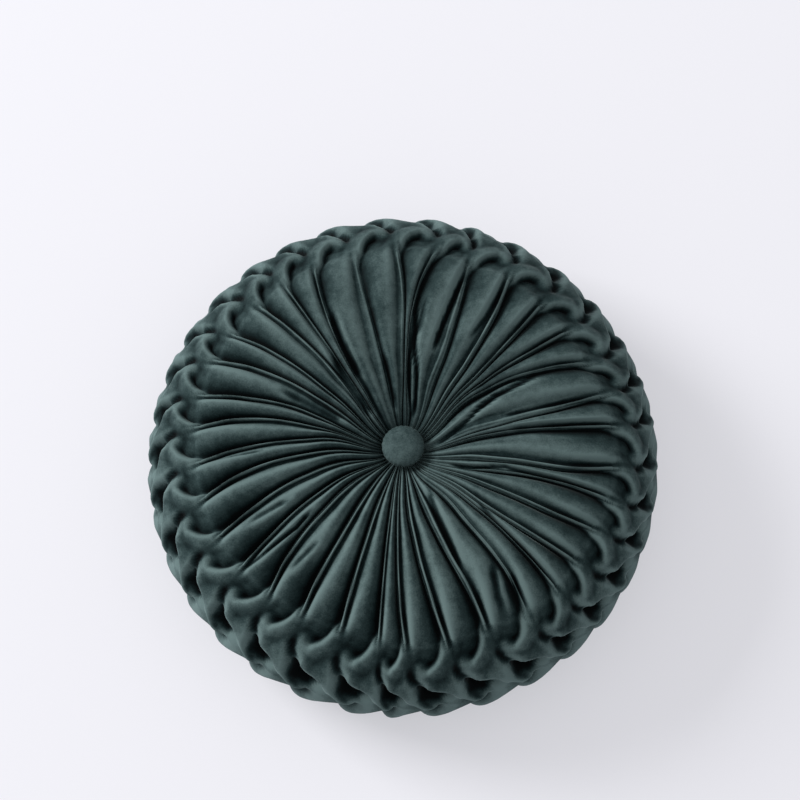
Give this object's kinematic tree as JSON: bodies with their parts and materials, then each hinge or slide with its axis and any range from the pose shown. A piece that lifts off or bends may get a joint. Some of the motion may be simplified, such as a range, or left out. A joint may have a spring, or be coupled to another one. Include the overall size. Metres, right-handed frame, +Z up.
{
  "type": "round pleated velvet cushion",
  "caption": "Low round velvet cushion with radial pleats drawn under a covered button and a smocked, plaited side wall.",
  "frame": {"origin": "on the surface that the cushion rests on, below the middle of its bounding box", "axes": "+Z up through both buttons; +X to the right and +Y to the far side of the pictured view"},
  "size_m": [0.3822, 0.3826, 0.1049],
  "materials": {
    "velvet": "short dense pile, dark where it faces the eye and lighter along its folds"
  },
  "bodies": {
    "root": {"cushion": "velvet", "button_top": "velvet", "button_under": "velvet"}
  },
  "joints": []
}
